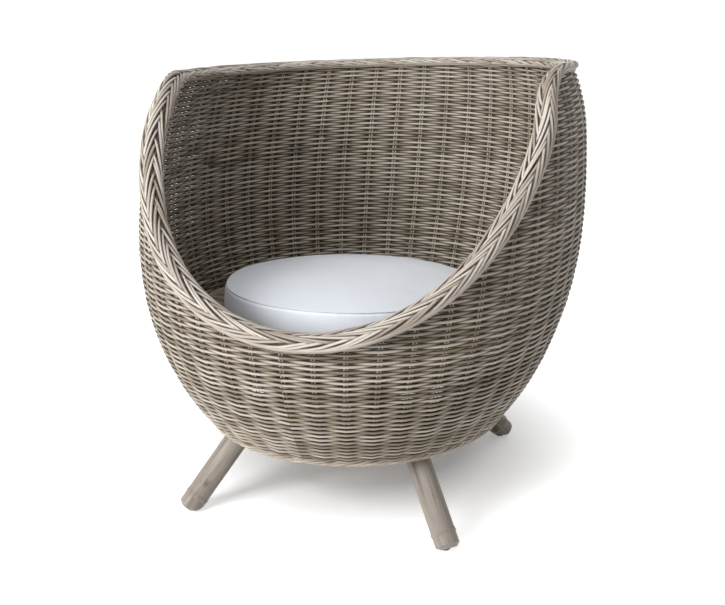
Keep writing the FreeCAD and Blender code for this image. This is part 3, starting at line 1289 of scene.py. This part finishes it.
@dataclass
class Cushion:
    """Boxed round cushion with a crowned top and a seam round each edge."""

    seat: Seat
    shift: float
    radius: float = 0.243
    bulge: float = 0.004
    bottom_seam: float = 0.009
    bottom_inset: float = 0.017
    top_seam: float = 0.072
    crown: float = 0.017
    crown_power: float = 3.0
    aside: float = -0.010
    gap: float = 0.0005
    around: int = 180
    groove: float = 0.0030
    stitch: float = 0.0022

    def outline(self) -> list[tuple[float, float]]:
        """Half outline from the middle of the underside to the middle of the top.

        Returns:
            Radius and height of each point.
        """
        flat = self.radius - self.bottom_inset
        points = [(flat * i / 8, self.gap) for i in range(8)]
        for i in range(5):
            turn = math.pi / 2 * i / 5
            height = self.gap + self.bottom_seam * (1 - math.cos(turn))
            points.append((flat + self.bottom_inset * math.sin(turn), height))
        low, high = self.bottom_seam + self.gap, self.top_seam + self.gap
        sunk = self.radius - self.groove
        points += [(sunk, low), (self.radius - 0.2 * self.groove, low + self.stitch)]
        rows = 16
        for i in range(1, rows):
            share = i / rows
            swell = self.bulge * math.sin(math.pi * share) ** 0.8
            points.append((self.radius + swell, low + (high - low) * share))
        points += [(self.radius, high - self.stitch), (sunk, high - 0.3 * self.stitch),
                   (sunk, high + 0.3 * self.stitch), (self.radius - 0.1 * self.groove, high + self.stitch)]
        steps = 26
        for i in range(2, steps + 1):
            share = math.cos(math.pi / 2 * i / steps)
            height = high + self.stitch + self.crown * (1 - share ** self.crown_power)
            points.append((self.radius * share if i < steps else 0.0, height))
        return points

    def build(self, finishes: Finishes) -> None:
        """Make the cushion.

        Args:
            finishes: Materials.
        """
        form = bmesh.new()
        outline = [form.verts.new((radius, 0, height)) for radius, height in self.outline()]
        edges = [form.edges.new(pair) for pair in zip(outline, outline[1:])]
        bmesh.ops.spin(form, geom=outline + edges, cent=(0, 0, 0), axis=(0, 0, 1), dvec=(0, 0, 0),
                       angle=TURN, steps=self.around, use_merge=True, use_duplicate=False)
        bmesh.ops.remove_doubles(form, verts=form.verts, dist=1e-6)
        for vert in form.verts:
            self.soften(vert)
        bmesh.ops.transform(form, verts=form.verts,
                            matrix=self.seat.matrix() @ Matrix.Translation((self.aside, 0, 0)))
        piece = made("cushion", form, self.shift)
        subdivision = piece.modifiers.new("soft", "SUBSURF")
        subdivision.levels = subdivision.render_levels = 1
        fit(piece, Body.CUSHION, Slot.CLOTH, finishes.cloth, "seat_cushion")

    def soften(self, vert: bmesh.types.BMVert) -> None:
        """Move a point a little, as filling and cloth settle.

        Args:
            vert: The point, before the cushion is put in its place.
        """
        place = vert.co.copy()
        reach = math.hypot(place.x, place.y)
        if place.z < 0.004 or reach < 1e-4:
            return
        outward = Vector((place.x / reach, place.y / reach, 0))
        rise = min(1.0, place.z / 0.03)
        dents = noise.noise(place * 9) * 0.0022 + noise.noise(place * 26) * 0.0007
        side = math.exp(-((reach - self.radius) / 0.02) ** 2)
        angle = math.atan2(place.y, place.x)
        pucker = 0.0005 * math.sin(angle * 74 + 3 * noise.noise(place * 14))
        near_seam = math.exp(-((place.z - self.top_seam) / 0.010) ** 2)
        vert.co += outward * (dents * side * rise + pucker * near_seam * side)
        vert.co.z += dents * (1 - side) * rise


# Frame under the seat, legs and fastenings

@dataclass
class Lashings:
    """Cane bindings round the pole rings where the struts meet them."""

    bowl: Bowl
    seat: Seat
    shift: float
    struts: int = 8
    turns: int = 6
    lace: float = 0.0026
    base_level: float = 0.170
    base_pole: float = 0.024
    seat_pole: float = 0.022
    seat_inset: float = 0.030
    panel: float = 0.010
    steps: int = 14

    def coil(self, ring: float, level: float, angle: float, pole: float, place: Matrix) -> Cane:
        """Turns of cane round a ring.

        Args:
            ring: Radius of the ring's middle line.
            level: Height of the ring.
            angle: Where on the ring the turns lie.
            pole: Diameter of the pole that the ring is bent from.
            place: Place of the ring.

        Returns:
            The cane.
        """
        reach = pole / 2 + self.lace * 0.4
        path = []
        for i in range(self.turns * self.steps + 1):
            turn = TURN * i / self.steps
            at = angle + (i / self.steps - self.turns / 2) * self.lace * 1.05 / ring
            out = ring + reach * math.cos(turn)
            rise = reach * math.sin(turn)
            path.append(place @ Vector((out * math.sin(at), -out * math.cos(at), level + rise)))
        return Cane(path, self.lace / 2, 0.5 + 0.4 * math.sin(angle * 3))

    def build(self, finishes: Finishes) -> None:
        """Make the bindings on both rings.

        Args:
            finishes: Materials.
        """
        wall = self.bowl.wall
        foot = self.bowl.radius(self.bowl.base_level + wall, wall) - self.base_pole / 2 - 0.0008
        head = self.bowl.radius(self.seat.level, wall) - self.seat_inset
        canes = []
        for i in range(self.struts):
            angle = math.pi * (2 * i + 1) / self.struts
            for aside in (-0.022, 0.022):
                canes.append(self.coil(foot, self.base_level, angle + aside / foot, self.base_pole,
                                       Matrix()))
                canes.append(self.coil(head, -self.panel - self.seat_pole / 2, angle + aside / head,
                                       self.seat_pole, self.seat.matrix()))
        piece = lay_canes("ring_lashings", canes, self.shift)
        fit(piece, Body.CHAIR, Slot.WOVEN, finishes.stake)


@dataclass
class Screws:
    """Round-headed socket screws that hold the leg plates and the rails."""

    shift: float
    plate_level: float = 0.1595
    rail_top: float = 0.1965
    head: float = 0.0036
    height: float = 0.0024
    plate_places: tuple[tuple[float, float], ...] = ((0.1835, 0.019), (0.1835, -0.019), (0.2505, 0.0228),
                                                     (0.2505, -0.0228))
    rail_places: tuple[tuple[float, float], ...] = ((0.2660, 0.014), (0.2660, -0.014))

    def screw(self, form: bmesh.types.BMesh, place: Matrix) -> None:
        """Add one screw head with its socket.

        Args:
            form: Mesh that it is added to.
            place: Where it goes; the head points along its Z.
        """
        lift = Matrix.Translation((0, 0, self.height / 2))
        head = bmesh.ops.create_cone(form, cap_ends=True, segments=18, radius1=self.head,
                                     radius2=self.head * 0.86, depth=self.height, matrix=place @ lift)
        outward = (place.to_3x3() @ UP).normalized()
        faces = {face for vert in head["verts"] for face in vert.link_faces}
        crown = max((face for face in faces if len(face.verts) > 4),
                    key=lambda face: face.calc_center_median().dot(outward))
        bmesh.ops.inset_region(form, faces=[crown], thickness=self.head * 0.42)
        sunk = bmesh.ops.extrude_face_region(form, geom=[crown])
        verts = [item for item in sunk["geom"] if isinstance(item, bmesh.types.BMVert)]
        bmesh.ops.delete(form, geom=[crown], context="FACES")
        bmesh.ops.translate(form, verts=verts, vec=-outward * self.height * 0.55)

    def build(self, finishes: Finishes) -> None:
        """Make all screws.

        Args:
            finishes: Materials.
        """
        for name, places, level, flip in (("plate_screws", self.plate_places, self.plate_level, math.pi),
                                          ("rail_screws", self.rail_places, self.rail_top, 0.0)):
            form = bmesh.new()
            for quarter in range(4):
                turn = Matrix.Rotation(math.radians(45 + 90 * quarter), 4, "Z")
                for out, aside in places:
                    place = turn @ Matrix.Translation((out, aside, level))
                    self.screw(form, place @ Matrix.Rotation(flip, 4, "X"))
            piece = made(name, form, self.shift, False)
            fit(piece, Body.CHAIR, Slot.STEEL, finishes.steel)


@dataclass
class Underframe:
    """Nodes of the frame that keep their shape: poles, rails, legs, plates, bolts and glides."""

    splay: float = math.radians(41)

    def dress(self, finishes: Finishes) -> None:
        """Give each node its material, with the grain along the piece.

        Args:
            finishes: Materials.
        """
        level = finishes.pole.material(finishes.streaks, Vector((1, 0.2, 0)))
        upright = finishes.pole.material(finishes.streaks)
        deep = finishes.pole.material(finishes.streaks, Vector((0, 1, 0)))
        for node in ("base_ring", "seat_ring"):
            dress(node, level)
        for i in range(1, 5):
            dress("seat_bearer_" + str(i), deep)
        for i in range(1, 9):
            dress("seat_strut_" + str(i), upright)
        for node, side in (("rail_lower", 1), ("rail_upper", -1)):
            dress(node, finishes.rail.material(finishes.streaks, Vector((1, side, 0))))
        for corner, turn in zip(CORNERS, (-135, -45, 45, 135)):
            lean = math.sin(self.splay)
            axis = Vector((-lean * math.cos(math.radians(turn)), -lean * math.sin(math.radians(turn)),
                           math.cos(self.splay)))
            dress("leg_" + corner, finishes.leg.material(finishes.streaks, axis))
            dress("leg_plate_" + corner, finishes.steel)
            dress("hanger_bolt_" + corner, finishes.steel)
            dress("glide_" + corner, finishes.glide)


@dataclass
class Studio:
    """Camera, floor, lamps and sky."""

    shift: float
    eye: tuple[float, float, float] = (0.6649, -1.9778, 1.065)
    right: tuple[float, float, float] = (0.9493, 0.3141, -0.0144)
    ahead: tuple[float, float, float] = (-0.3023, 0.8991, -0.3165)
    focal_pixels: float = 1118.4
    centre: tuple[float, float] = (354.424, 300.444)
    picture: tuple[int, int] = (725, 605)

    def camera(self) -> None:
        """Set the camera to the photograph's view."""
        sensor = 36.0
        data = bpy.data.cameras.new("camera")
        data.sensor_width = sensor
        data.lens = self.focal_pixels / self.picture[0] * sensor
        data.shift_x = (self.picture[0] / 2 - self.centre[0]) / self.picture[0]
        data.shift_y = (self.centre[1] - self.picture[1] / 2) / self.picture[0]
        camera = bpy.data.objects.new("camera", data)
        bpy.context.collection.objects.link(camera)
        right = Vector(self.right).normalized()
        back = -Vector(self.ahead).normalized()
        upward = back.cross(right).normalized()
        right = upward.cross(back)
        turn = Matrix((right, upward, back)).transposed().to_4x4()
        camera.matrix_world = Matrix.Translation(Vector(self.eye) + Vector((0, self.shift, 0))) @ turn
        bpy.context.scene.camera = camera

    def lamp(self, name: str, place: Vector, size: float, power: float) -> None:
        """Hang a soft square lamp that faces the chair.

        Args:
            name: Name of the lamp.
            place: Where it hangs.
            size: Length of its sides.
            power: Its power in watts.
        """
        data = bpy.data.lights.new(name, "AREA")
        data.size = size
        data.energy = power
        lamp = bpy.data.objects.new(name, data)
        bpy.context.collection.objects.link(lamp)
        lamp.location = place
        lamp.rotation_euler = (Vector((0, 0, 0.4)) - place).to_track_quat("-Z", "Y").to_euler()

    def sky(self) -> None:
        """Even pale sky, white where the camera, glossy or clear surfaces see it."""
        world = bpy.data.worlds.new("sky")
        bpy.context.scene.world = world
        world.use_nodes = True
        sketch = NodeSketch(world.node_tree)
        back = world.node_tree.nodes["Background"]
        back.inputs["Color"].default_value = (1, 1, 1, 1)
        rays = sketch.add("ShaderNodeLightPath")
        seen = sketch.math("MAXIMUM", rays.outputs["Is Camera Ray"], rays.outputs["Is Glossy Ray"])
        seen = sketch.math("MAXIMUM", seen, rays.outputs["Is Transmission Ray"])
        strength = sketch.add("ShaderNodeMapRange", {"Value": seen, "To Min": 0.33, "To Max": 1.0})
        world.node_tree.links.new(strength.outputs["Result"], back.inputs["Strength"])

    def floor(self) -> None:
        """White floor that keeps the shadow of the chair, with a painted shadow added: its glow for the
        camera is lower in a soft round patch under the chair.
        """
        form = bmesh.new()
        bmesh.ops.create_grid(form, x_segments=1, y_segments=1, size=30)
        plane = made("floor", form, 0.0)
        material, sketch, shader = shaded("white_floor")
        shader.inputs["Base Color"].default_value = (0.9, 0.9, 0.9, 1)
        shader.inputs["Roughness"].default_value = 0.9
        rays = sketch.add("ShaderNodeLightPath")
        seen = sketch.math("MAXIMUM", rays.outputs["Is Camera Ray"], rays.outputs["Is Glossy Ray"])
        # Painted shadow: the glow for camera and glossy rays falls from 0.76 to 0.10 within half a metre
        # of a point under the chair.
        away = sketch.add("ShaderNodeTexCoord").outputs["Object"]
        away = sketch.add("ShaderNodeVectorMath", {0: away, 1: (-0.04, 0.08, 0)}, operation="DISTANCE")
        glow_with_painted_shadow = sketch.add("ShaderNodeMapRange", {"Value": away.outputs["Value"], "From Min": 0.22,
                                                       "From Max": 0.50, "To Min": 0.10, "To Max": 0.76})
        glow = sketch.math("MULTIPLY", seen, glow_with_painted_shadow.outputs["Result"])
        material.node_tree.links.new(glow, shader.inputs["Emission Strength"])
        shader.inputs["Emission Color"].default_value = (1, 1, 1, 1)
        plane.data.materials.append(material)

    def build(self) -> None:
        """Set the whole studio."""
        self.camera()
        self.sky()
        self.floor()
        self.lamp("key_lamp", Vector((-1.7, -3.0, 2.0)), 1.8, 130)
        self.lamp("top_lamp", Vector((-0.4, -1.6, 3.2)), 1.8, 26)
        self.lamp("back_lamp", Vector((0.8, 2.6, 2.8)), 2.0, 9)
        bpy.context.scene.view_settings.view_transform = "Standard"


def main() -> None:
    """Build the chair and the studio."""
    logging.basicConfig(level=logging.INFO, format="%(name)s %(message)s")
    shift = middle_of_legs()
    bowl = Bowl()
    opening = Opening(bowl)
    finishes = Finishes()
    Studio(shift).build()
    WovenWall(bowl, opening, shift).build(finishes)
    PlaitedRim(bowl, opening, shift).build(finishes)
    BaseRope(bowl, shift).build(finishes)
    seat = Seat(bowl, shift)
    seat.panel(finishes)
    Cushion(seat, shift).build(finishes)
    Lashings(bowl, seat, shift).build(finishes)
    Screws(shift).build(finishes)
    Underframe().dress(finishes)


if __name__ == "__main__":
    main()
